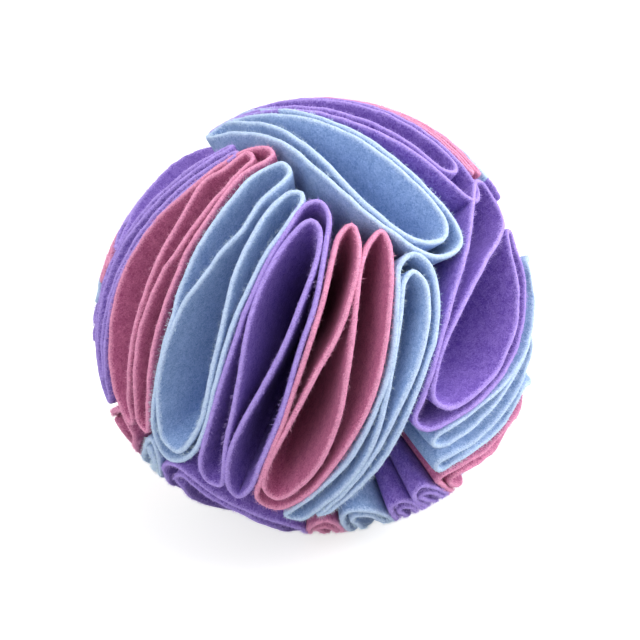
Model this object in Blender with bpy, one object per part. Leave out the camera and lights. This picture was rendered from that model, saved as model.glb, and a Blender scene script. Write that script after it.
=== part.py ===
"""Snuffle ball for pets: 32 folded felt petals sewn by their points to a felt core.

Each petal is a round felt disc folded in half and in half again. Its point lies at the ball's
centre and its cut rim on the ball's surface. The solid of a petal is its outer fold, a long U
of felt that is open at one end; the inner fold that nests in the U is left out. Treats go
between the folds. The petals stand side by side in six fans. The ball's own axes are X to its
right fan, Y away from its front fan and Z to its top fan. One empty carries it all and leans it.
"""
import bpy
import bmesh
from dataclasses import dataclass
from math import asin, cos, degrees, pi, radians, sin, sqrt
from mathutils import Euler, Vector

# Sizes in metres
BALL_RADIUS = 0.075
FELT_THICKNESS = 0.002
CLEARANCE = 0.0003
CORE_RADIUS = 0.0087
THREAD_DIAMETER = 0.0008
THREAD_LOOP_RADIUS = 0.004
REST_DEPTH = 0.0005

# Where the petals' points start
POINT_RADIUS = CORE_RADIUS + THREAD_DIAMETER + 2 * CLEARANCE

# How the ball lies: turned about X, Y and Z
LEAN = (radians(-7.5), radians(18), radians(-28.5))

# The felt's thickness seen from the ball's centre, in degrees
FELT_ANGLE = degrees(2 * asin(FELT_THICKNESS / 2 / BALL_RADIUS))

# Points along each side of the fold, from its tip (0) to its bend (1)
SIDE_SHARES = (0, 0.16, 0.36, 0.56, 0.75, 0.89, 1)
# Longest corner of an offset line, of its distance
CORNER_SHARE = 1.25

CORE_SEGMENTS = 24
CORE_RINGS = 12
LOOP_SEGMENTS = 24
THREAD_SIDES = 6


@dataclass
class Petal:
    """One petal's rim, in degrees seen from the ball's centre, over the felt's outer faces."""
    colour: str
    place: float            # across the fan, to its middle
    shift: float = 0        # along the fan's run
    turn: float = 0         # of its length against the run
    width: float = 11.5     # over its sides
    bend: int = 1           # 1 with its bend at the run's end, -1 at its start
    reach: float = 41.8     # half its length
    spread: float = 13.3    # over its two tips
    bow: float = 0          # how far its middle swells sideways
    skew_share: float = 0   # how much its widest place moves to the bend


def plain_row(colours, first, pitch, bend, **same):
    """Narrow petals at one pitch, their bends at alternate ends, bowed with the ball."""
    bow_share = 0.08
    petals = []
    for i, colour in enumerate(colours):
        place = first + pitch * i
        side = bend if i % 2 == 0 else -bend
        petals.append(Petal(colour, place, bend=side, bow=bow_share * place, spread=10.3, **same))
    return petals


# Each fan: the way it faces and the way its petals run, both in the ball's axes, and its petals
FANS = {
    "front": ((0, -1, 0), (0, 0, 1), [
        Petal("purple", -40.8, 4.6, 2.5, 12.7, -1, spread=9.7, bow=-4.5),
        Petal("pink", -23, 8.5, 0, 19.1, bow=-4.5),
        Petal("blue", -6.4, 6, 0, 17.7, -1, bow=-1.8),
        Petal("purple", 11, 4, -4, 16.7, bow=0.5),
        Petal("pink", 27.8, 2, -2, 18.9, -1, bow=2.3),
        Petal("blue", 43.7, 1.6, 1, 12.5, bow=3.5),
    ]),
    "top": ((0, 0, 1), (-1, 0, 0), [
        Petal("blue", -25.5, 2, -2, 17.5, -1, 40.8, skew_share=0.6),
        Petal("purple", -4.5, 9, -2, 19.5, -1),
    ]),
    "top_back": ((-0.27, 0, 1), (-1, 0, -0.27),
                 plain_row(("pink", "blue", "purple"), 11.4, 12, 1, width=11.2, reach=39.7)),
    "right": ((0.931, 0.159, 0.328), (-0.352, 0.623, 0.698), [
        Petal("purple", -21.8, -4.7, 0, 26.7, -1, 38.8, 13.2),
        Petal("blue", 2.5, -4, 0, 20),
        Petal("pink", 20, -2, 0, 14.5, -1, spread=10.3, bow=1.6),
    ] + plain_row(("purple", "blue"), 33, 11.6, 1, width=11.3)),
    "bottom": ((0.12, -0.13, -1), (1, 0.22, 0.12),
               plain_row(("purple", "pink", "blue", "purple", "pink", "blue"), -24.9, 12, 1)),
    "left": ((-1, 0.1, -0.05), (-0.1, -1, -0.22),
             plain_row(("purple", "pink", "blue", "purple", "pink", "blue"), -19.2, 11.3, 1,
                       shift=0.5, width=11.1, reach=40.6)),
    "back": ((-0.13, 1, -0.3), (-0.17, 0, 1),
             plain_row(("purple", "pink", "blue", "purple"), -20.5, 12.6, 1, width=12.1,
                       reach=40.3)),
}
# Fans whose points one loop of thread gathers
SEWN_FANS = ("front", "top", "right", "bottom", "left", "back")

COLOURS = {
    "purple": (0.235, 0.117, 0.565, 1),
    "pink": (0.565, 0.107, 0.266, 1),
    "blue": (0.275, 0.451, 0.723, 1),
    "white": (0.78, 0.76, 0.74, 1),
}


def felt_material(name, colour, roughness):
    material = bpy.data.materials.new(name)
    material.use_nodes = True
    shader = material.node_tree.nodes["Principled BSDF"]
    shader.inputs["Base Color"].default_value = COLOURS[colour]
    shader.inputs["Roughness"].default_value = roughness
    shader.inputs["Metallic"].default_value = 0
    material.diffuse_color = COLOURS[colour]
    return material


def axes(facing, run):
    """Three square unit axes: out of the fan, along its run and across it."""
    along = Vector(run).normalized()
    out = Vector(facing)
    out = (out - along * along.dot(out)).normalized()
    return out, along, along.cross(out)


def petal_rim(fan_axes, petal):
    """Middle line of a petal's cut rim, as directions from the ball's centre.

    The line runs from the left tip along one side to the bend, and back to the right tip.
    """
    out, along, across = fan_axes
    place, shift, turn = radians(petal.place), radians(petal.shift), radians(petal.turn)
    middle = cos(shift) * (cos(place) * out + sin(place) * across) + sin(shift) * along
    up = (along - middle * along.dot(middle)).normalized()
    beside = up.cross(middle)
    length = cos(turn) * up + sin(turn) * beside
    sideways = length.cross(middle)
    length = length * petal.bend
    half = petal.reach - FELT_ANGLE / 2
    half_width = (petal.width - FELT_ANGLE) / 2
    half_spread = (petal.spread - FELT_ANGLE) / 2

    rim = []
    last = len(SIDE_SHARES) - 1
    stations = [(-1, k) for k in range(last + 1)] + [(1, k) for k in range(last - 1, -1, -1)]
    for side, k in stations:
        to_tip = cos(pi * SIDE_SHARES[k])
        round_share = 1 - to_tip ** 2
        if to_tip > 0:
            width = half_width * round_share + half_spread * to_tip ** 2
        else:
            width = half_width * sqrt(sqrt(round_share))
        width *= 1 - petal.skew_share * to_tip / 2 * round_share
        angle = -petal.reach if k == 0 else -half * to_tip
        swell = petal.bow * cos(radians(angle * 90 / half))
        a, b = radians(side * width + swell), radians(angle)
        rim.append(cos(b) * (cos(a) * middle + sin(a) * sideways) + sin(b) * length)
    return rim


def offset_line(line, angle):
    """The open line moved sideways over the sphere, its corners kept short."""
    sides = [a.cross(b).normalized() for a, b in zip(line, line[1:])]
    moved = []
    for k, point in enumerate(line):
        before = sides[max(k - 1, 0)]
        after = sides[min(k, len(sides) - 1)]
        corner = (before + after).normalized()
        stretch = min(1 / corner.dot(before), CORNER_SHARE)
        moved.append((point + corner * (stretch * sin(angle))).normalized())
    return moved


def felt_petal(name, rim, bend, material):
    """The folded felt between two cones over its rim, thinner toward the point."""
    half_felt = radians(FELT_ANGLE) / 2
    outside = offset_line(rim, bend * half_felt)
    inside = offset_line(rim, -bend * half_felt)
    section = outside + inside[::-1]

    mesh = bmesh.new()
    low, high = [[mesh.verts.new(point * radius) for point in section]
                 for radius in (POINT_RADIUS, BALL_RADIUS)]
    count = len(section)
    for k in range(count):
        n = (k + 1) % count
        mesh.faces.new((low[k], low[n], high[n], high[k]))
    for ring in (low, high):
        for k in range(len(rim) - 1):
            mesh.faces.new((ring[k], ring[k + 1], ring[count - 2 - k], ring[count - 1 - k]))
    bmesh.ops.recalc_face_normals(mesh, faces=mesh.faces)
    data = bpy.data.meshes.new(name)
    mesh.to_mesh(data)
    mesh.free()
    data.materials.append(material)
    return bpy.data.objects.new(name, data)


def take_new(name, material, collection, parent):
    """Names the primitive just added and moves it under the ball."""
    item = bpy.context.object
    item.name = name
    item.data.name = name
    item.data.materials.append(material)
    item.data.shade_smooth()
    for other in list(item.users_collection):
        other.objects.unlink(item)
    collection.objects.link(item)
    item.parent = parent
    return item


def main():
    for item in list(bpy.data.objects):
        bpy.data.objects.remove(item, do_unlink=True)
    scene = bpy.context.scene
    scene.unit_settings.system = "METRIC"
    parts = bpy.data.collections.new("snuffle_ball")
    cutters = bpy.data.collections.new("cutters")
    scene.collection.children.link(parts)
    scene.collection.children.link(cutters)
    felt = {c: felt_material("felt_" + c, c, 0.95) for c in ("purple", "pink", "blue")}
    core_felt = felt_material("core_felt", "white", 0.95)
    thread = felt_material("thread", "white", 0.7)

    ball = bpy.data.objects.new("ball_lean", None)
    ball.empty_display_size = BALL_RADIUS
    ball.rotation_euler = LEAN
    parts.objects.link(ball)

    # Petals, numbered through each side of the ball
    turn = Euler(LEAN).to_matrix()
    petals = []
    corners = []
    numbers = {}
    for fan, (facing, run, rows) in FANS.items():
        side = fan.split("_")[0]
        fan_axes = axes(facing, run)
        for petal in rows:
            numbers[side] = numbers.get(side, 0) + 1
            name = f"{side}_petal_{numbers[side]}_{petal.colour}"
            rim = petal_rim(fan_axes, petal)
            item = felt_petal(name, rim, petal.bend, felt[petal.colour])
            item.parent = ball
            parts.objects.link(item)
            petals.append(item)
            corners.append([turn @ v.co for v in item.data.vertices])

    # The lean decides which rims come lowest, and the ball stands on them
    low = [min(c[k] for group in corners for c in group) for k in range(3)]
    high = [max(c[k] for group in corners for c in group) for k in range(3)]
    rest_height = low[2] + REST_DEPTH
    ball.location = (-(low[0] + high[0]) / 2, -(low[1] + high[1]) / 2, -rest_height)

    # The rims that would reach below the table are pressed flat on it
    bpy.ops.mesh.primitive_cube_add(size=2 * BALL_RADIUS, location=(0, 0, -BALL_RADIUS))
    table = bpy.context.object
    table.name = "table_cutter"
    table.hide_render = True
    table.display_type = "WIRE"
    for other in list(table.users_collection):
        other.objects.unlink(table)
    cutters.objects.link(table)
    for item, group in zip(petals, corners):
        if min(c[2] for c in group) < rest_height:
            cut = item.modifiers.new("rest", "BOOLEAN")
            cut.operation = "DIFFERENCE"
            cut.solver = "EXACT"
            cut.object = table

    # Core and the loops of thread that lie between it and the petals' points
    bpy.ops.mesh.primitive_uv_sphere_add(segments=CORE_SEGMENTS, ring_count=CORE_RINGS,
                                         radius=CORE_RADIUS)
    take_new("felt_core", core_felt, parts, ball)
    thread_path = CORE_RADIUS + CLEARANCE + THREAD_DIAMETER / 2
    for fan in SEWN_FANS:
        out, along, across = axes(*FANS[fan][:2])
        bpy.ops.mesh.primitive_torus_add(
            major_radius=THREAD_LOOP_RADIUS, minor_radius=THREAD_DIAMETER / 2,
            major_segments=LOOP_SEGMENTS, minor_segments=THREAD_SIDES)
        loop = take_new(f"thread_loop_{fan}", thread, parts, ball)
        loop.rotation_euler = out.to_track_quat("Z", "Y").to_euler()
        loop.location = out * sqrt(thread_path ** 2 - THREAD_LOOP_RADIUS ** 2)


main()
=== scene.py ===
# %% [markdown]
# # A snuffle ball of folded felt
#
# The real ball is sewn from round felt discs. Each disc is folded in half and in half again, and
# its point is stitched to a felt core. Packed side by side, the folded discs spread into a ball
# whose surface is nothing but their cut edges, and dry treats are pushed in between the folds.
#
# This lesson makes it the same way. A flat ring of felt is drawn out of a circle, then every
# point of it is moved along the line that the folded edge follows on the ball.

from dataclasses import dataclass
from math import asin, cos, degrees, exp, pi, radians, sin, sqrt

import bmesh
import bpy
import numpy as np
from mathutils import Euler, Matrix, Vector, noise


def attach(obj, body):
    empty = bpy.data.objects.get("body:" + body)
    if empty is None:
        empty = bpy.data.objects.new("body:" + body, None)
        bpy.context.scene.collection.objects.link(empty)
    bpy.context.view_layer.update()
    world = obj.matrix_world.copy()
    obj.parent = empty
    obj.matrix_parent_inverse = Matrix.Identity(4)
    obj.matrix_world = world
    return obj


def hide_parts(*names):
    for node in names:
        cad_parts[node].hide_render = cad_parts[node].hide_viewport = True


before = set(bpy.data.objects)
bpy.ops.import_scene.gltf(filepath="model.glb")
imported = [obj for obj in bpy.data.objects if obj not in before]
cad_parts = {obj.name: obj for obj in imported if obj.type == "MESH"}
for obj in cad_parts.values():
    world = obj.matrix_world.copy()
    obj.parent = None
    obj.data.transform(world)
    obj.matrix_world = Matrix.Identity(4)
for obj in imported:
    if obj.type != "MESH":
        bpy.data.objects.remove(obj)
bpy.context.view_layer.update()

# %% [markdown]
# ## The camera
#
# The ball was photographed from a little above with a long lens. A camera that looks straight at
# the ball's centre and is then shifted by a few pixels keeps the ball's outline round, which
# turning the camera would not.

# %% Camera
BALL_RADIUS = 0.075
BALL_CENTRE = Vector((0.0001, -0.0001, 0.07405))
CAMERA_DISTANCE = 0.75
CAMERA_RISE = radians(20)
SENSOR_WIDTH = 36
LENS_LENGTH = 122.6
PICTURE = 640
PICTURE_SHIFT = (4, -7)

lens = bpy.data.cameras.new("photo_camera")
lens.sensor_width = SENSOR_WIDTH
lens.lens = LENS_LENGTH
lens.shift_x = PICTURE_SHIFT[0] / PICTURE
lens.shift_y = PICTURE_SHIFT[1] / PICTURE
lens.clip_start = 0.01
camera = bpy.data.objects.new("photo_camera", lens)
bpy.context.scene.collection.objects.link(camera)
camera.rotation_euler = (pi / 2 - CAMERA_RISE, 0, 0)
camera.location = BALL_CENTRE + CAMERA_DISTANCE * Vector((0, -cos(CAMERA_RISE), sin(CAMERA_RISE)))
bpy.context.scene.camera = camera
print("camera at", tuple(round(c, 3) for c in camera.location))

# %% [markdown]
# ## Two helpers
#
# Every piece below is drawn as a bmesh and becomes an object in the same way, with its place in
# its mesh, so that patterns in object coordinates stay where they are. Every finish starts from
# the same Principled shader.

# %% From a bmesh to an object, and a material to fill in
def piece_from(name, mesh, smooth=False):
    """A new object in the scene, made from a bmesh that isn't needed any more."""
    data = bpy.data.meshes.new(name)
    mesh.to_mesh(data)
    mesh.free()
    if smooth:
        data.shade_smooth()
    item = bpy.data.objects.new(name, data)
    bpy.context.scene.collection.objects.link(item)
    return item


def new_material(name, roughness):
    """A new material with its nodes, its links and its Principled shader."""
    material = bpy.data.materials.new(name)
    material.use_nodes = True
    nodes = material.node_tree.nodes
    shader = nodes["Principled BSDF"]
    shader.inputs["Roughness"].default_value = roughness
    return material, nodes, material.node_tree.links, shader


# %% [markdown]
# ## Floor and light
#
# Product pictures of soft toys use large, soft lamps, so that the nap shows and no shadow has a
# hard edge. The deep pockets then darken by themselves, because little of the light gets in.

# %% Floor
FLOOR_SIZE = 6
FLOOR_GREY = 0.5
FLOOR_GLOW = 0.72


def pale_floor():
    """One wide plane. It glows to the camera alone, so it looks white and lights nothing."""
    mesh = bmesh.new()
    bmesh.ops.create_grid(mesh, x_segments=1, y_segments=1, size=FLOOR_SIZE / 2)
    floor = piece_from("floor", mesh)
    material, nodes, links, shader = new_material("floor_white", 0.9)
    shader.inputs["Base Color"].default_value = (FLOOR_GREY, FLOOR_GREY, FLOOR_GREY, 1)
    shader.inputs["Emission Color"].default_value = (1, 1, 1, 1)
    rays = nodes.new("ShaderNodeLightPath")
    glow = nodes.new("ShaderNodeMath")
    glow.operation = "MULTIPLY"
    glow.inputs[1].default_value = FLOOR_GLOW
    links.new(rays.outputs["Is Camera Ray"], glow.inputs[0])
    links.new(glow.outputs["Value"], shader.inputs["Emission Strength"])
    floor.data.materials.append(material)
    return floor


floor = pale_floor()
print("floor", FLOOR_SIZE, "m square")

# %% [markdown]
# Three lamps do the work of a photographer's soft boxes: a wide one above, a wide one at the
# front left and a smaller one that lights the right side. The white world fills in the rest.

# %% Lamps
WORLD_LIGHT = 0.66


def soft_lamp(name, place, size, watts):
    """A square lamp that faces the ball."""
    lamp = bpy.data.lights.new(name, "AREA")
    lamp.size = size
    lamp.energy = watts
    item = bpy.data.objects.new(name, lamp)
    bpy.context.scene.collection.objects.link(item)
    item.location = BALL_CENTRE + Vector(place)
    item.rotation_euler = (-Vector(place)).to_track_quat("-Z", "Y").to_euler()
    return item


soft_lamp("overhead", (0.15, -0.1, 1.1), 0.9, 7.5)
soft_lamp("front_left", (-0.7, -1.1, 0.5), 0.9, 7)
soft_lamp("right_edge", (1.1, 0.05, 0.5), 0.6, 15)

world = bpy.data.worlds.new("studio")
world.use_nodes = True
world.node_tree.nodes["Background"].inputs["Color"].default_value = (1, 1, 1, 1)
world.node_tree.nodes["Background"].inputs["Strength"].default_value = WORLD_LIGHT
bpy.context.scene.world = world
bpy.context.scene.view_settings.view_transform = "Standard"
print("lamps", [light.name for light in bpy.data.lights])

# %% [markdown]
# ## Where each petal's edge runs
#
# Seen on the ball, the cut edge of a twice-folded disc is one closed line. It goes down one side
# of the outer fold, round its bend and up the other side, turns over a tip, and comes back along
# the inner fold to the other tip. Angles seen from the ball's centre describe it well, because
# every petal runs straight out from there.

# %% Sizes of the felt
FELT_THICKNESS = 0.002
FOLD_GAP = 0.0007
FELT_ANGLE = degrees(2 * asin(FELT_THICKNESS / 2 / BALL_RADIUS))
LAYER_ANGLE = FELT_ANGLE + degrees(FOLD_GAP / BALL_RADIUS)
SIDE_SHARES = (0, 0.16, 0.36, 0.56, 0.75, 0.89, 1)
print("a layer of felt with its gap takes up", round(LAYER_ANGLE, 2), "degrees of the ball")

# %% [markdown]
# A handful of angles tells one petal from the next: where it sits in its fan, how wide and how
# long it is, how far its two tips spread, and how much it bows. `left` and `right` say how much
# of the outer fold the inner one fills on each side, at the tips and at the bend. A petal whose
# edge is traced further down needs only its colour and the end that its bend is at.


# %% What tells one petal from the next
@dataclass
class Petal:
    """A petal's edge in degrees seen from the ball's centre, over the felt's outer faces."""
    colour: str
    place: float = 0
    shift: float = 0
    turn: float = 0
    width: float = 11.5
    left: tuple = (0.5, 0.5)
    right: tuple = (0.5, 0.5)
    bend: int = 1
    reach: float = 41.8
    spread: float = 13.3
    bow: float = 0
    inset: float = 3.5


ROW_SPREAD = 10.3
ROW_BOW = 0.08


def plain_row(colours, first, pitch, bend, **same):
    """Narrow petals at one pitch, their bends at alternate ends, bowed with the ball."""
    row = []
    for i, colour in enumerate(colours):
        place = first + pitch * i
        row.append(Petal(colour, place, bend=bend if i % 2 == 0 else -bend,
                         bow=ROW_BOW * place, spread=ROW_SPREAD, **same))
    return row


# %% [markdown]
# Six fans of petals cover the ball, turned against each other as the faces of a volleyball are.
# Each fan is given by the way it faces and the way its petals run, in the ball's own axes. The
# top fan is in two parts, because the petals at its back lean away.

# %% The fans
FANS = {
    "front": ((0, -1, 0), (0, 0, 1), [
        Petal("purple", -40.8, 4.6, 2.5, 12.7, bend=-1, spread=9.7, bow=-4.5),
        Petal("pink"), Petal("blue", bend=-1), Petal("purple"), Petal("pink", bend=-1),
        Petal("blue"),
    ]),
    "top": ((0, 0, 1), (-1, 0, 0), [
        Petal("blue", bend=-1),
        Petal("purple", -4.5, 9, -2, 19.5, (0.6, 0.6), (0.6, 0.6), -1, inset=9),
    ]),
    "top_back": ((-0.27, 0, 1), (-1, 0, -0.27),
                 plain_row(("pink", "blue", "purple"), 11.4, 12, 1, width=11.2, reach=39.7)),
    "right": ((0.931, 0.159, 0.328), (-0.352, 0.623, 0.698), [
        Petal("purple", bend=-1), Petal("blue"), Petal("pink", bend=-1), Petal("purple"),
    ] + plain_row(("blue",), 44.6, 11.6, -1, width=11.3)),
    "bottom": ((0.12, -0.13, -1), (1, 0.22, 0.12), [
        Petal("purple"), Petal("pink", bend=-1), Petal("blue"), Petal("purple", bend=-1),
    ] + plain_row(("pink", "blue"), 23.1, 12, 1)),
    "left": ((-1, 0.1, -0.05), (-0.1, -1, -0.22),
             plain_row(("purple", "pink", "blue", "purple"), -19.2, 11.3, 1, shift=0.5,
                       width=11.1, reach=40.6) + [Petal("pink"), Petal("blue", bend=-1)]),
    "back": ((-0.13, 1, -0.3), (-0.17, 0, 1),
             plain_row(("purple", "pink", "blue", "purple"), -20.5, 12.6, 1, width=12.1,
                       reach=40.3)),
}
BALL_LEAN = Euler((radians(-7.5), radians(18), radians(-28.5))).to_matrix()
FAN_SIDES = {fan.split("_")[0] for fan in FANS}
print(sum(len(rows) for *_, rows in FANS.values()), "petals in", len(FAN_SIDES), "fans")

# %% [markdown]
# The edge line is a few corners down each side of both folds, at `SIDE_SHARES` of the way, which
# lie closer near the ends, where the line turns. The outer fold is nearly as wide as the petal
# round its bend and narrows toward its tips. The inner fold follows it at a share of its width,
# never closer than a layer of felt, and ends short of the outer bend.

# %% The folded edge
BEND_FULLNESS = 0.25
BEND_ROOM = LAYER_ANGLE + 0.85 * FELT_ANGLE
INNER_STEP = 0.25
TIP_ROUND = 0.8


def fan_axes(facing, run):
    """Three square unit axes: out of the fan, along its run and across it."""
    along = Vector(run).normalized()
    out = Vector(facing)
    out = (out - along * along.dot(out)).normalized()
    return out, along, along.cross(out)


def inner_width(shares, e, outer, petal, inside, gap):
    """Half width of the inner fold on one side, e from 0 at the bend to 1 at the tips."""
    share = shares[0] * e + shares[1] * (1 - e)
    tipward = max(0, 2 * e - 1) ** 2
    if e > 0.5:
        half = share * (petal.width - FELT_ANGLE) / 2 * (1 - tipward) + inside * tipward
    else:
        half = share * outer
    return min(half, outer - gap)


def folded_edge(axes, petal):
    """Corners of the petal's closed edge line, as directions from the ball's centre."""
    out, along, across = axes
    place, shift, turn = radians(petal.place), radians(petal.shift), radians(petal.turn)
    middle = cos(shift) * (cos(place) * out + sin(place) * across) + sin(shift) * along
    up = (along - middle * along.dot(middle)).normalized()
    length = cos(turn) * up + sin(turn) * up.cross(middle)
    sideways = length.cross(middle)
    length = length * petal.bend
    half = petal.reach - FELT_ANGLE / 2
    half_layer = LAYER_ANGLE / 2
    tip_half = half_layer / cos(radians(half))
    tip_place = (petal.spread - FELT_ANGLE) / 2 - tip_half

    def direction(across_angle, along_angle):
        bow = petal.bow * cos(radians(along_angle * 90 / half))
        a, b = radians(across_angle + bow), radians(along_angle)
        return cos(b) * (cos(a) * middle + sin(a) * sideways) + sin(b) * length

    def outer_width(angle):
        from_middle = (angle / half) ** 2
        roundness = max(0, 1 - from_middle)
        widest = (petal.width - FELT_ANGLE) / 2
        if angle < 0:
            return widest * roundness + (tip_place + tip_half) * from_middle
        return widest * roundness ** BEND_FULLNESS

    inner_end = half - petal.inset
    while outer_width(inner_end) * cos(radians(inner_end)) < BEND_ROOM:
        inner_end -= INNER_STEP

    outer, inner = [], []
    last = len(SIDE_SHARES) - 1
    stations = [(-1, k) for k in range(last + 1)] + [(1, k) for k in range(last - 1, -1, -1)]
    for side, k in stations:
        sweep = cos(pi * SIDE_SHARES[k])
        outer.append(direction(side * outer_width(-half * sweep), -half * sweep))
        angle = -half + (half + inner_end) * (1 - sweep) / 2
        e = (1 - angle / half) / 2
        limit = outer_width(angle)
        gap = LAYER_ANGLE / cos(radians(angle))
        inside = tip_place - tip_half
        left = inner_width(petal.left, e, limit, petal, inside, gap)
        right = inner_width(petal.right, e, limit, petal, inside, gap)
        if left + right < gap:
            spare = (gap - left - right) / 2
            left, right = left + spare, right + spare
            if left > limit - gap:
                left = limit - gap
                right = max(right, gap - left)
            if right > limit - gap:
                right = limit - gap
                left = max(left, gap - right)
        if k == 0:
            left = right = inside
        if k == last:
            left = right = 0
        inner.append(direction(-left if side < 0 else right, angle))
    tip_end = -half - TIP_ROUND * half_layer
    tips = direction(-tip_place, tip_end), direction(tip_place, tip_end)
    return [tips[0]] + outer + [tips[1]] + inner[::-1]


# %% [markdown]
# ## Edges that the photograph shows
#
# Sixteen petals show all or part of their edge in the photograph, and a real fold sags and leans
# in its own way, which no formula gives. So these edges are traced: the corners are read off the
# picture, in pixels, from one tip along the outer fold to the other and back along the
# inner one. Each pixel's line of sight is then followed to where it meets the ball. Where an
# edge goes on behind the ball's outline, its corners are a guess.

# %% Traced in front, left half
TRACED = {
    "front_petal_2_pink": [
        (129, 424), (118, 404), (111, 376), (109, 350), (112, 311), (123, 273), (141, 240),
        (164, 211), (190, 188), (219, 165), (243, 151), (267, 147), (273, 154), (265, 161),
        (255, 166), (244, 173), (235, 182), (226, 192), (217, 204), (206, 219), (195, 236),
        (186, 251), (177, 272), (167, 298), (160, 319), (154, 341), (149, 371), (147, 400),
        (145, 432), (138, 423), (134, 395), (134, 361), (137, 335), (144, 312), (154, 288),
        (163, 270), (176, 252), (189, 232), (203, 214), (215, 198), (225, 187), (233, 177),
        (243, 167), (252, 158), (247, 152), (222, 170), (204, 181), (192, 198), (179, 220),
        (167, 240), (152, 270), (141, 304), (132, 340), (128, 376), (128, 405), (132, 422),
    ],
    "front_petal_3_blue": [
        (289, 171), (282, 163), (270, 166), (259, 171), (249, 178), (238, 189), (229, 200),
        (221, 211), (211, 225), (202, 240), (194, 255), (186, 274), (177, 296), (171, 317),
        (164, 339), (157, 371), (152, 402), (154, 436), (165, 457), (179, 461), (193, 452),
        (205, 426), (213, 390), (221, 362), (229, 337), (237, 313), (247, 290), (257, 268),
        (268, 248), (281, 230), (292, 214), (301, 202), (301, 193), (291, 192), (279, 200),
        (267, 213), (257, 229), (247, 248), (239, 265), (232, 284), (226, 307), (220, 330),
        (213, 362), (206, 400), (196, 431), (176, 453), (162, 440), (157, 407), (160, 367),
        (169, 337), (176, 319), (184, 301), (196, 284), (208, 268), (218, 254), (229, 242),
        (241, 230), (251, 215), (259, 203), (271, 191), (282, 181),
    ],
    "front_petal_4_purple": [
        (219, 486), (207, 481), (200, 468), (203, 447), (212, 415), (220, 385), (228, 360),
        (236, 337), (244, 313), (253, 291), (263, 269), (274, 249), (287, 229), (297, 212),
        (308, 202), (321, 201), (330, 214), (327, 245), (317, 293), (300, 352), (280, 414),
        (262, 462), (249, 490), (237, 498), (229, 489), (228, 462), (240, 429), (264, 385),
        (287, 339), (306, 293), (318, 250), (318, 227), (311, 221), (302, 225), (293, 234),
        (284, 245), (275, 259), (267, 274), (260, 289), (254, 305), (248, 325), (244, 345),
        (240, 371), (233, 407), (225, 440), (222, 469),
    ],
}

# %% Traced in front, right half
TRACED |= {
    "front_petal_5_pink": [
        (352, 225), (341, 234), (333, 258), (323, 298), (310, 343), (294, 393), (275, 444),
        (260, 479), (257, 500), (275, 510), (300, 501), (329, 474), (351, 443), (372, 400),
        (385, 355), (391, 307), (392, 267), (389, 242), (382, 231), (371, 242), (362, 265),
        (357, 298), (353, 333), (348, 371), (340, 414), (326, 452), (304, 483), (276, 499),
        (265, 489), (270, 462), (290, 424), (315, 376), (338, 336), (351, 300), (359, 260),
        (358, 237),
    ],
    "front_petal_6_blue": [
        (286, 517), (317, 493), (346, 465), (371, 423), (389, 377), (397, 333), (399, 295),
        (401, 265), (414, 254), (429, 263), (438, 288), (438, 329), (426, 371), (407, 417),
        (381, 463), (355, 493), (329, 513), (318, 517), (329, 507), (352, 485), (379, 450),
        (402, 404), (420, 360), (429, 314), (426, 283), (414, 271), (405, 282), (401, 314),
        (396, 352), (387, 398), (374, 443), (352, 481), (326, 505), (300, 520),
    ],
}

# %% Traced on the top and on the right
TRACED |= {
    "top_petal_1_blue": [
        (204, 128), (220, 118), (245, 112), (272, 109), (300, 111), (330, 120), (360, 134),
        (390, 155), (418, 178), (440, 201), (458, 225), (462, 242), (452, 254), (436, 257),
        (418, 250), (395, 234), (370, 216), (342, 190), (315, 167), (288, 146), (262, 135),
        (235, 132), (214, 136), (208, 133), (222, 125), (248, 122), (275, 126), (300, 140),
        (325, 162), (352, 191), (380, 215), (405, 234), (426, 242), (444, 238), (447, 226),
        (435, 204), (412, 180), (385, 156), (355, 136), (325, 124), (295, 116), (268, 114),
        (240, 118), (218, 124),
    ],
    "right_petal_1_purple": [
        (477, 181), (474, 205), (468, 246), (455, 295), (441, 345), (426, 394), (416, 422),
        (427, 430), (452, 421), (480, 402), (501, 379), (516, 351), (524, 322), (526, 291),
        (523, 268), (517, 250), (511, 232), (508, 232), (511, 250), (516, 270), (519, 294),
        (518, 318), (510, 346), (496, 373), (476, 394), (451, 409), (435, 400), (437, 375),
        (449, 336), (469, 295), (489, 258), (501, 240), (504, 226), (502, 214), (494, 198),
        (483, 183),
    ],
    "right_petal_2_blue": [
        (434, 445), (437, 438), (447, 431), (465, 419), (485, 403), (503, 387), (519, 366),
        (529, 344), (534, 318), (534, 292), (530, 271), (528, 261), (540, 262), (557, 276),
        (572, 298), (580, 322), (579, 346), (571, 364), (556, 376), (541, 382), (530, 389),
        (518, 405), (505, 424), (492, 438), (475, 451), (456, 463), (443, 471), (437, 470),
        (438, 464), (451, 456), (471, 445), (490, 429), (506, 410), (519, 389), (528, 368),
        (533, 347), (532, 338), (524, 360), (512, 382), (497, 404), (478, 424), (460, 437),
        (445, 446),
    ],
    "right_petal_3_pink": [
        (575, 412), (562, 403), (549, 398), (537, 400), (525, 411), (514, 425), (501, 439),
        (487, 451), (471, 461), (456, 470), (444, 475), (438, 481), (444, 487), (457, 493),
        (471, 499), (487, 502), (505, 500), (524, 492), (542, 480), (558, 470), (576, 460),
        (571, 454), (553, 465), (537, 473), (521, 482), (504, 490), (488, 492), (474, 489),
        (461, 485), (451, 480), (460, 474), (474, 467), (489, 457), (503, 445), (516, 432),
        (529, 417), (541, 407), (555, 410), (569, 418),
    ],
    "right_petal_4_purple": [
        (492, 522), (480, 513), (468, 505), (456, 498), (444, 492), (432, 488), (421, 489),
        (415, 495), (416, 502), (424, 506), (435, 508), (448, 512), (460, 519), (472, 527),
        (484, 536), (482, 531), (471, 522), (459, 514), (447, 507), (434, 502), (426, 500),
        (421, 497), (425, 494), (433, 494), (443, 497), (455, 504), (467, 511), (479, 519),
    ],
}

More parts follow.
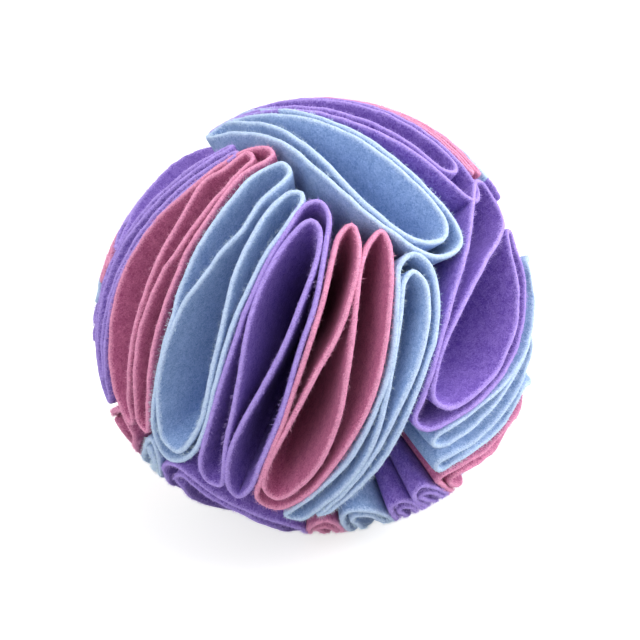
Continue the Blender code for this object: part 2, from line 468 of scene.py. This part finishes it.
# %% Traced underneath
TRACED |= {
    "bottom_petal_1_purple": [
        (303, 531), (290, 527), (273, 522), (255, 515), (237, 507), (220, 498), (205, 488),
        (190, 477), (179, 469), (170, 465), (163, 469), (165, 481), (172, 493), (186, 507),
        (205, 522), (228, 538), (255, 552), (280, 562), (300, 567), (299, 560), (281, 555),
        (257, 545), (232, 531), (210, 515), (193, 501), (180, 489), (175, 481), (177, 476),
        (183, 477), (192, 485), (205, 495), (221, 505), (238, 513), (256, 521), (275, 528),
        (292, 533), (302, 536),
    ],
    "bottom_petal_2_pink": [
        (404, 570), (388, 560), (372, 551), (358, 543), (347, 533), (336, 525), (324, 522),
        (313, 526), (309, 532), (315, 537), (327, 541), (340, 548), (354, 557), (368, 566),
        (384, 576), (386, 570), (371, 560), (357, 551), (343, 542), (330, 535), (321, 532),
        (316, 530), (324, 528), (333, 530), (343, 537), (355, 546), (369, 555), (386, 565),
    ],
    "bottom_petal_3_blue": [
        (458, 562), (444, 550), (430, 540), (416, 531), (402, 524), (388, 518), (375, 513),
        (362, 511), (350, 512), (343, 519), (345, 526), (355, 531), (368, 534), (382, 538),
        (396, 544), (410, 552), (424, 562), (438, 574), (441, 568), (427, 556), (412, 546),
        (397, 539), (382, 533), (368, 529), (358, 526), (352, 521), (355, 517), (363, 516),
        (374, 518), (387, 523), (401, 529), (414, 536), (428, 545), (442, 556),
    ],
    "bottom_petal_4_purple": [
        (482, 541), (468, 532), (455, 524), (442, 517), (430, 512), (419, 507), (410, 503),
        (400, 503), (392, 508), (394, 515), (402, 520), (412, 521), (424, 525), (436, 530),
        (448, 538), (460, 547), (473, 557), (472, 551), (461, 542), (448, 533), (436, 525),
        (423, 520), (412, 516), (403, 515), (399, 511), (403, 508), (410, 508), (418, 512),
        (429, 517), (441, 522), (454, 529), (467, 537),
    ],
}

# %% Traced at the lower left
TRACED |= {
    "left_petal_5_pink": [
        (156, 521), (147, 506), (141, 492), (138, 478), (136, 464), (134, 452), (130, 441),
        (125, 431), (120, 421), (116, 413), (110, 415), (103, 424), (97, 437), (95, 452),
        (98, 470), (106, 489), (117, 508), (133, 527), (138, 524), (123, 505), (112, 487),
        (104, 469), (101, 452), (103, 439), (108, 429), (114, 423), (120, 433), (125, 443),
        (128, 453), (130, 465), (132, 479), (135, 494), (141, 509), (150, 524),
    ],
    "left_petal_6_blue": [
        (198, 538), (183, 524), (170, 508), (162, 493), (159, 480), (158, 468), (157, 457),
        (154, 447), (150, 440), (146, 441), (143, 450), (143, 462), (146, 475), (149, 488),
        (153, 501), (160, 516), (172, 533), (188, 549), (192, 545), (177, 530), (165, 514),
        (158, 500), (154, 487), (151, 475), (149, 463), (148, 452), (149, 448), (151, 453),
        (152, 463), (153, 475), (155, 487), (158, 497), (166, 511), (179, 527), (194, 541),
    ],
}
print(len(TRACED), "petals traced")

# %% [markdown]
# The real ball isn't quite round: it bulges low on both sides and is flatter at the upper left.
# Each bulge is named by the spot of the picture where it is strongest. A spot outside the round
# outline means one just behind it, as if the ball's far side were unrolled there.

# %% From the picture to the ball
BULGES = [((530, 400), 0.045), ((110, 400), 0.04), ((440, 490), 0.02), ((175, 495), 0.02),
          ((160, 160), -0.055), ((316, 94), -0.015)]
BULGE_ANGLE = radians(26)
BULGE_ROUNDS = 3


def on_round_ball(x, y, radius):
    """The direction, in the ball's own axes, of the spot that a pixel of the picture shows."""
    focus = lens.lens / lens.sensor_width * PICTURE
    middle_x = PICTURE / 2 - lens.shift_x * PICTURE
    middle_y = PICTURE / 2 + lens.shift_y * PICTURE
    sight = camera.rotation_euler.to_matrix() @ Vector(((x - middle_x) / focus,
                                                        (middle_y - y) / focus, -1)).normalized()
    away = camera.location - BALL_CENTRE
    middle = -away.normalized()
    off, outline = sight.angle(middle), asin(radius / away.length)
    face = -1
    if off > outline:
        sight = middle.slerp(sight, (2 * outline - off) / off)
        face = 1
    near = away.dot(sight)
    depth = max(0, near ** 2 - away.length_squared + radius ** 2)
    spot = away + sight * (-near + face * sqrt(depth))
    return (BALL_LEAN.transposed() @ spot).normalized()


BULGE_SPOTS = [(on_round_ball(*spot, BALL_RADIUS), amount) for spot, amount in BULGES]
print(len(BULGE_SPOTS), "bulges and flats")


def swell(point):
    """How much further than the round ball the petals reach in this direction."""
    return 1 + sum(amount * exp(-(point.angle(spot) / BULGE_ANGLE) ** 2)
                   for spot, amount in BULGE_SPOTS)


def on_ball(x, y):
    """The same as on_round_ball, on the ball with its bulges, found in a few rounds."""
    point = on_round_ball(x, y, BALL_RADIUS)
    for _ in range(BULGE_ROUNDS):
        point = on_round_ball(x, y, BALL_RADIUS * swell(point))
    return point


# %% [markdown]
# Felt bends in smooth curves, so the corners are joined by a curve that passes through each of
# them. Spacing the curve by the square root of each step keeps it from swinging wide where a
# short step, at a tip, follows a long one.

# %% A smooth line through the corners
STEP_ANGLE = radians(1.15)


def smooth_line(corners):
    """A closed curve on the ball through the given directions, in nearly even steps."""
    line = []
    count = len(corners)
    for k in range(count):
        p0, p1, p2, p3 = (corners[(k + j) % count] for j in (-1, 0, 1, 2))
        t0 = 0
        t1 = t0 + sqrt((p1 - p0).length)
        t2 = t1 + sqrt((p2 - p1).length)
        t3 = t2 + sqrt((p3 - p2).length)
        steps = max(2, round(p1.angle(p2) / STEP_ANGLE))
        for step in range(steps):
            t = t1 + (t2 - t1) * step / steps
            a = p0.lerp(p1, (t - t0) / (t1 - t0))
            b = p1.lerp(p2, (t - t1) / (t2 - t1))
            c = p2.lerp(p3, (t - t2) / (t3 - t2))
            d = a.lerp(b, (t - t0) / (t2 - t0))
            e = b.lerp(c, (t - t1) / (t3 - t1))
            line.append(d.lerp(e, (t - t1) / (t2 - t1)).normalized())
    return line


# %% [markdown]
# ## Folding a disc
#
# A felt ring is a circle that is extruded, ring by ring: up one face from near the sewn point to
# the cut edge, over the edge, and back down the other face. Then each ring is laid along the
# folded line at its own distance from the ball's centre. A real disc folds the same way, since
# a point keeps its distance from the disc's middle. Toward the point the felt is crushed thinner.

# %% The felt's section, from the outer face over the cut edge to the inner face
POINT_RADIUS = 0.0115
# distance from the cut edge, and place across the thickness from 1 outside to -1 inside
EDGE_SECTION = [(0.0035, 1), (0.0022, 0.98), (0.0013, 0.93), (0.0007, 0.86), (0.00025, 0.72),
                (0, 0.46), (-0.0001, 0.15)]
BODY_RADII = [POINT_RADIUS, 0.02, 0.03, 0.04, 0.048, 0.055, 0.061, 0.066, 0.0695]


def felt_section():
    """Radius and side of each ring of the felt, as one closed section."""
    face = [(radius, 1) for radius in BODY_RADII]
    face += [(BALL_RADIUS - back, side) for back, side in EDGE_SECTION]
    return face + [(radius, -side) for radius, side in face[::-1]]


SECTION = felt_section()
print(len(SECTION), "rings of felt")


# %% [markdown]
# Felt cut by hand is uneven in three ways. Its faces ripple, its cut edge is ragged, and close
# up the edge is grainy. Each is a noise with its own fineness and depth, and the last two fade
# out a few millimetres from the edge.

# %% Folding
# how fine the noise is, in turns to the metre, and how far it moves the felt, in metres
RIPPLE_FINE, RIPPLE = 45, 0.0007
RAGGED_FINE, RAGGED = 190, 0.00035
GRAIN_FINE, GRAIN = 700, 0.00012
GRAIN_ACROSS = 0.9
RIM_DEPTH = 0.004


def fold_felt(name, line, bend, seed):
    """A felt ring laid along its folded line on the ball, with the unevenness of cut felt."""
    count = len(line)
    half_felt = radians(FELT_ANGLE) / 2
    mesh = bmesh.new()
    rim = mesh.verts.layers.float.new("rim")
    start = bmesh.ops.create_circle(mesh, cap_ends=False, segments=count, radius=POINT_RADIUS)
    rings = [list(start["verts"])]
    edges = list(mesh.edges)
    first_edges = edges
    for _ in SECTION[1:]:
        grown = bmesh.ops.extrude_edge_only(mesh, edges=edges)["geom"]
        fresh = {item for item in grown if isinstance(item, bmesh.types.BMVert)}
        edges = [item for item in grown if isinstance(item, bmesh.types.BMEdge)
                 and item.verts[0] in fresh and item.verts[1] in fresh]
        rings.append([next(e.other_vert(v) for e in v.link_edges if e.other_vert(v) in fresh)
                      for v in rings[-1]])
    bmesh.ops.bridge_loops(mesh, edges=first_edges + edges)

    shake = Vector((seed * 3.7, seed * 1.3, seed * 2.1))
    for k, point in enumerate(line):
        sideways = point.cross(line[(k + 1) % count] - line[k - 1]).normalized() * -bend
        bulge = swell(point)
        for ring, (radius, side) in zip(rings, SECTION):
            spot = point * radius
            ripple = noise.noise(spot * RIPPLE_FINE + shake) * RIPPLE
            ripple *= (radius / BALL_RADIUS) ** 2
            ragged = noise.noise(spot * RAGGED_FINE + shake) * RAGGED
            near_rim = max(0, 1 - (BALL_RADIUS - radius) / RIM_DEPTH)
            grain = noise.noise(spot * GRAIN_FINE + sideways * side * GRAIN_ACROSS + shake)
            grain = grain * GRAIN * near_rim
            swing = side * half_felt + ripple / BALL_RADIUS
            place = (point * cos(swing) + sideways * sin(swing)) * (radius + ragged * near_rim)
            place *= 1 + (bulge - 1) * radius / BALL_RADIUS
            place += sideways * side * grain
            ring[k].co = BALL_CENTRE + BALL_LEAN @ place
            # the rim attribute also tells the felt shader where the cut edge gets its painted
            # sheen
            ring[k][rim] = near_rim
    for vertex in mesh.verts:
        vertex.co.z = max(vertex.co.z, 0)
    bmesh.ops.recalc_face_normals(mesh, faces=mesh.faces)
    return piece_from(name, mesh, smooth=True)


# %% [markdown]
# Scissors leave the ends of the fibres standing all along the cut edge. Each one is a sliver of a
# cone with three sides, far too thin to be seen alone, and some thousands of them on every petal
# give its edge the soft outline of the real felt. They are rooted a little way into the felt, up
# to `FIBRE_ZONE` back from the edge, and lean outwards more the further back they stand.

# %% Loose fibres along the cut edge
FIBRES = 3200
FIBRE_LENGTH = 0.0011
FIBRE_WIDTH = 0.00006
FIBRE_SHORTEST = 0.35
FIBRE_ZONE = 0.0016
FIBRE_DEPTH = 0.0001
FIBRE_LEAN = 0.5
FIBRE_SLANT = 0.9


def one_fibre():
    """A cone of unit size that stands on its base."""
    mesh = bmesh.new()
    bmesh.ops.create_cone(mesh, cap_ends=True, segments=3, radius1=1, radius2=0, depth=1)
    bmesh.ops.translate(mesh, verts=mesh.verts, vec=(0, 0, 0.5))
    data = bpy.data.meshes.new("fibre")
    mesh.to_mesh(data)
    mesh.free()
    return data


def loose_fibres(name, line, bend, seed):
    """Fibres that stand out of one petal's cut edge, each at its own slant."""
    fibre = one_fibre()
    shape = np.array([vertex.co for vertex in fibre.vertices])
    chance = np.random.default_rng(seed)
    count = len(line)
    steps = np.array([(line[(k + 1) % count] - line[k]).length for k in range(count)])
    picks = chance.choice(count, FIBRES, p=steps / steps.sum())
    half_felt = radians(FELT_ANGLE) / 2
    nap = bmesh.new()
    for k in picks:
        share, across, back, slant, roll, size = chance.random(6)
        here = line[k].lerp(line[(k + 1) % count], share).normalized()
        along = (line[(k + 1) % count] - line[k - 1]).normalized()
        sideways = here.cross(along).normalized() * -bend
        side = 2 * across - 1
        back = FIBRE_ZONE * back ** 2
        radius = (BALL_RADIUS - back - FIBRE_DEPTH) * swell(here)
        root = (here + sideways * side * half_felt) * radius
        lean = sideways * (side * (FIBRE_LEAN + 2 * back / FIBRE_ZONE))
        lean += along * (2 * slant - 1) * FIBRE_SLANT
        lean += sideways * (2 * roll - 1) * FIBRE_LEAN
        way = (here + lean).normalized()
        turn = way.to_track_quat("Z", "Y").to_matrix()
        length = FIBRE_LENGTH * (FIBRE_SHORTEST + size)
        scaled = shape * (FIBRE_WIDTH, FIBRE_WIDTH, length)
        placed = scaled @ np.array(BALL_LEAN @ turn).T + np.array(BALL_CENTRE + BALL_LEAN @ root)
        placed[:, 2] = np.maximum(placed[:, 2], 0)
        fibre.vertices.foreach_set("co", placed.ravel())
        nap.from_mesh(fibre)
    bpy.data.meshes.remove(fibre)
    return piece_from(name, nap)


# %% [markdown]
# ## Felt
#
# Felt has no weave. Its colour is mottled, because fibres of slightly different shades are
# matted together, and loose fibres stand up as a nap that catches the light. The cut edge shows
# the ends of the fibres, and it is painted paler, a painted sheen for the light they catch. One
# node group gives these three effects, and each colour of felt places it with its own shades.

# %% The matted fibres, shared by every felt
FIBRE_SCALE = 1300
CLOUD_SCALE = 320
CLOUD_SHARE = 0.2
MOTTLE_FROM, MOTTLE_TO = 0.4, 0.6
EDGE_UNEVEN = 1.1
EDGE_FROM, EDGE_TO = 1.2, 1.75


def felt_group():
    """A node group: shades in; mottled colour, painted paler at the cut edge as a painted sheen,
    and nap height out.
    """
    group = bpy.data.node_groups.new("matted_felt", "ShaderNodeTree")
    face = group.interface
    for name in ("Deep", "Body", "Edge"):
        face.new_socket(name, in_out="INPUT", socket_type="NodeSocketColor")
    face.new_socket("Fibre Scale", in_out="INPUT", socket_type="NodeSocketFloat")
    face.new_socket("Color", in_out="OUTPUT", socket_type="NodeSocketColor")
    face.new_socket("Height", in_out="OUTPUT", socket_type="NodeSocketFloat")
    nodes, links = group.nodes, group.links
    inputs = nodes.new("NodeGroupInput")
    outputs = nodes.new("NodeGroupOutput")
    place = nodes.new("ShaderNodeTexCoord")

    fibres = nodes.new("ShaderNodeTexNoise")
    fibres.inputs["Detail"].default_value = 6
    fibres.inputs["Roughness"].default_value = 0.65
    fibres.inputs["Distortion"].default_value = 1.5
    links.new(place.outputs["Object"], fibres.inputs["Vector"])
    links.new(inputs.outputs["Fibre Scale"], fibres.inputs["Scale"])

    clouds = nodes.new("ShaderNodeTexNoise")
    clouds.inputs["Scale"].default_value = CLOUD_SCALE
    clouds.inputs["Detail"].default_value = 3
    links.new(place.outputs["Object"], clouds.inputs["Vector"])

    both = nodes.new("ShaderNodeMix")
    both.inputs["Factor"].default_value = CLOUD_SHARE
    links.new(fibres.outputs["Fac"], both.inputs["A"])
    links.new(clouds.outputs["Fac"], both.inputs["B"])

    spread = nodes.new("ShaderNodeMapRange")
    spread.inputs["From Min"].default_value = MOTTLE_FROM
    spread.inputs["From Max"].default_value = MOTTLE_TO
    links.new(both.outputs["Result"], spread.inputs["Value"])

    body = nodes.new("ShaderNodeMix")
    body.data_type = "RGBA"
    links.new(spread.outputs["Result"], body.inputs["Factor"])
    links.new(inputs.outputs["Deep"], body.inputs["A"])
    links.new(inputs.outputs["Body"], body.inputs["B"])

    # painted sheen: close to the rim, where the fibre noise lets it, the colour is painted with
    # the paler edge shade
    rim = nodes.new("ShaderNodeAttribute")
    rim.attribute_name = "rim"
    uneven = nodes.new("ShaderNodeMath")
    uneven.operation = "MULTIPLY_ADD"
    uneven.inputs[1].default_value = EDGE_UNEVEN
    links.new(fibres.outputs["Fac"], uneven.inputs[0])
    links.new(rim.outputs["Fac"], uneven.inputs[2])
    painted_sheen = nodes.new("ShaderNodeMapRange")
    painted_sheen.inputs["From Min"].default_value = EDGE_FROM
    painted_sheen.inputs["From Max"].default_value = EDGE_TO
    links.new(uneven.outputs["Value"], painted_sheen.inputs["Value"])

    edge = nodes.new("ShaderNodeMix")
    edge.data_type = "RGBA"
    links.new(painted_sheen.outputs["Result"], edge.inputs["Factor"])
    links.new(body.outputs["Result"], edge.inputs["A"])
    links.new(inputs.outputs["Edge"], edge.inputs["B"])
    links.new(edge.outputs["Result"], outputs.inputs["Color"])
    links.new(both.outputs["Result"], outputs.inputs["Height"])
    return group


FELT_GROUP = felt_group()
print("node group", FELT_GROUP.name, "with", len(FELT_GROUP.nodes), "nodes")

# %% [markdown]
# Each colour of felt is dull and has a sheen, since its loose fibres catch light that grazes the
# surface. The same noise that mottles the colour raises the nap. The shades are written as they
# look on a screen and turned into the linear values that a shader works with.

# %% Felt in each colour
def felt(name, deep, body, edge):
    """Matted felt: two shades for its face, and a paler one painted on its cut edge as a painted
    sheen.
    """
    material, nodes, links, shader = new_material(name, 0.95)
    shader.inputs["Specular IOR Level"].default_value = 0.15
    shader.inputs["Sheen Weight"].default_value = 0.35
    shader.inputs["Sheen Roughness"].default_value = 0.6
    shader.inputs["Sheen Tint"].default_value = edge
    matted = nodes.new("ShaderNodeGroup")
    matted.node_tree = FELT_GROUP
    matted.inputs["Deep"].default_value = deep
    matted.inputs["Body"].default_value = body
    matted.inputs["Edge"].default_value = edge
    matted.inputs["Fibre Scale"].default_value = FIBRE_SCALE
    links.new(matted.outputs["Color"], shader.inputs["Base Color"])
    nap = nodes.new("ShaderNodeBump")
    nap.inputs["Strength"].default_value = 1
    nap.inputs["Distance"].default_value = 0.0004
    links.new(matted.outputs["Height"], nap.inputs["Height"])
    links.new(nap.outputs["Normal"], shader.inputs["Normal"])
    return material


def shade(code):
    """A colour as painted on screen, in the linear values that a shader reads."""
    parts = [int(code[i:i + 2], 16) / 255 for i in (0, 2, 4)]
    return tuple(c / 12.92 if c < 0.04045 else ((c + 0.055) / 1.055) ** 2.4 for c in parts) + (1,)


# for each colour: the deep and body shades of the mottle, then the paler shade of the painted edge
# sheen, which is also the shader's sheen tint
SHADES = {
    "purple": (shade("5f40a2"), shade("957acd"), shade("bda6ee")),
    "pink": (shade("9a4673"), shade("ca749d"), shade("f0a8c8")),
    "blue": (shade("7090c4"), shade("a9c3ea"), shade("cfe0f8")),
}
FELTS = {colour: felt("felt_" + colour, *shades) for colour, shades in SHADES.items()}
print("felts", list(FELTS))

# %% [markdown]
# A single fibre is painted paler than felt, as a painted sheen where nothing shades it, and some
# are paler than others. So the fibres have a plain material of the cut edge's painted sheen shade
# that varies a little.

# %% Loose fibres in each colour
FIBRE_LIGHTER = 1.35


def loose_felt(name, colour):
    """Single fibres: no mottle, some of them a little lighter than the others."""
    material, nodes, links, shader = new_material(name, 0.8)
    shader.inputs["Specular IOR Level"].default_value = 0.2
    place = nodes.new("ShaderNodeTexCoord")
    vary = nodes.new("ShaderNodeTexNoise")
    vary.inputs["Scale"].default_value = 700
    links.new(place.outputs["Object"], vary.inputs["Vector"])
    mix = nodes.new("ShaderNodeMix")
    mix.data_type = "RGBA"
    mix.inputs["A"].default_value = colour
    mix.inputs["B"].default_value = tuple(min(1, c * FIBRE_LIGHTER) for c in colour[:3]) + (1,)
    links.new(vary.outputs["Fac"], mix.inputs["Factor"])
    links.new(mix.outputs["Result"], shader.inputs["Base Color"])
    return material


FIBRE_FELTS = {colour: loose_felt("fibres_" + colour, edge)
               for colour, (_, _, edge) in SHADES.items()}
print("fibres", list(FIBRE_FELTS))

# %% [markdown]
# ## The core and its thread
#
# A wad of the same felt in white holds the middle. A round ball, dented a little by a coarse and
# a fine noise, does for it.

# %% Core
CORE_RADIUS = 0.0087
WAD_SHRINK = 0.0002
# how fine each noise is, in turns to the metre, and how deep its dents are, in metres
WAD_DENTS = ((260, 0.00025), (1400, 0.00008))


def felt_core():
    """A ball of felt with a slightly uneven surface."""
    mesh = bmesh.new()
    bmesh.ops.create_icosphere(mesh, subdivisions=5, radius=CORE_RADIUS)
    for vertex in mesh.verts:
        dent = sum(noise.noise(vertex.co * fine) * depth for fine, depth in WAD_DENTS)
        vertex.co *= 1 - (WAD_SHRINK + abs(dent)) / CORE_RADIUS
        vertex.co += BALL_CENTRE
    return piece_from("core_wad", mesh, smooth=True)


core = felt_core()
core.data.materials.append(felt("core_felt", shade("cfccc6"), shade("e9e7e2"), shade("f7f6f3")))
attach(core, "root")
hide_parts("felt_core")
print("core", len(core.data.polygons), "faces")

# %% [markdown]
# A loop of thread gathers the points of each fan against the core. The loops keep the shapes of
# the measured model, because their size decides what they hold, and only get the look of twisted
# thread: slanting bands, from a wave texture that runs diagonally through each loop.


# %% Thread
def thread_material():
    """Twisted thread: fine slanting bands of light and shade."""
    material, nodes, links, shader = new_material("twisted_thread", 0.6)
    place = nodes.new("ShaderNodeTexCoord")
    twist = nodes.new("ShaderNodeTexWave")
    twist.bands_direction = "DIAGONAL"
    twist.inputs["Scale"].default_value = 900
    twist.inputs["Distortion"].default_value = 1.5
    links.new(place.outputs["Object"], twist.inputs["Vector"])
    mix = nodes.new("ShaderNodeMix")
    mix.data_type = "RGBA"
    mix.inputs["A"].default_value = shade("c9c6bf")
    mix.inputs["B"].default_value = shade("f1efea")
    links.new(twist.outputs["Fac"], mix.inputs["Factor"])
    links.new(mix.outputs["Result"], shader.inputs["Base Color"])
    groove = nodes.new("ShaderNodeBump")
    groove.inputs["Strength"].default_value = 0.5
    groove.inputs["Distance"].default_value = 0.0001
    links.new(twist.outputs["Fac"], groove.inputs["Height"])
    links.new(groove.outputs["Normal"], shader.inputs["Normal"])
    return material


THREAD = thread_material()
LOOPS = [node for name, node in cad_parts.items() if name.startswith("thread_loop")]
for loop in LOOPS:
    loop.data.materials.clear()
    loop.data.materials.append(THREAD)
print(len(LOOPS), "thread loops")

# %% [markdown]
# ## The petals
#
# Every petal gets the same treatment: its edge line, its folded felt, its colour. Each one
# stands for the plain solid of the measured model, and is a folded sheet that was
# cut as a disc as wide as the ball. Where the traced rim is too short for a whole disc, the
# petal was cut as two thirds of one, a sector, which the maker can do to fit the last gaps, and
# its name is printed.

# %% Fold every petal
SHORT_CUT = 2 / 3
WHOLE_TURN = 0.75 * 2 * pi
petals = []
numbers = {}
for fan, (facing, run, rows) in FANS.items():
    side = fan.split("_")[0]
    axes = fan_axes(facing, run)
    for petal in rows:
        numbers[side] = numbers.get(side, 0) + 1
        node = f"{side}_petal_{numbers[side]}_{petal.colour}"
        if node in TRACED:
            corners = [on_ball(x, y) for x, y in TRACED[node]]
        else:
            corners = folded_edge(axes, petal)
        line = smooth_line(corners)
        item = fold_felt(f"{side}_{petal.colour}_felt_{numbers[side]}", line, petal.bend,
                         len(petals))
        item.data.materials.append(FELTS[petal.colour])
        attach(item, "root")
        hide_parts(node)
        nap = loose_fibres(item.name + "_fibres", line, petal.bend, len(petals))
        nap.data.materials.append(FIBRE_FELTS[petal.colour])
        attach(nap, "root")
        turned = sum(point.angle(line[k - 1]) for k, point in enumerate(line))
        cut = 1 if turned > WHOLE_TURN else SHORT_CUT
        if cut < 1:
            print(item.name, "is cut short: its rim goes", round(degrees(turned)), "degrees round")
        petals.append(item)
print(len(petals), "petals,", sum(len(p.data.polygons) for p in petals), "faces")
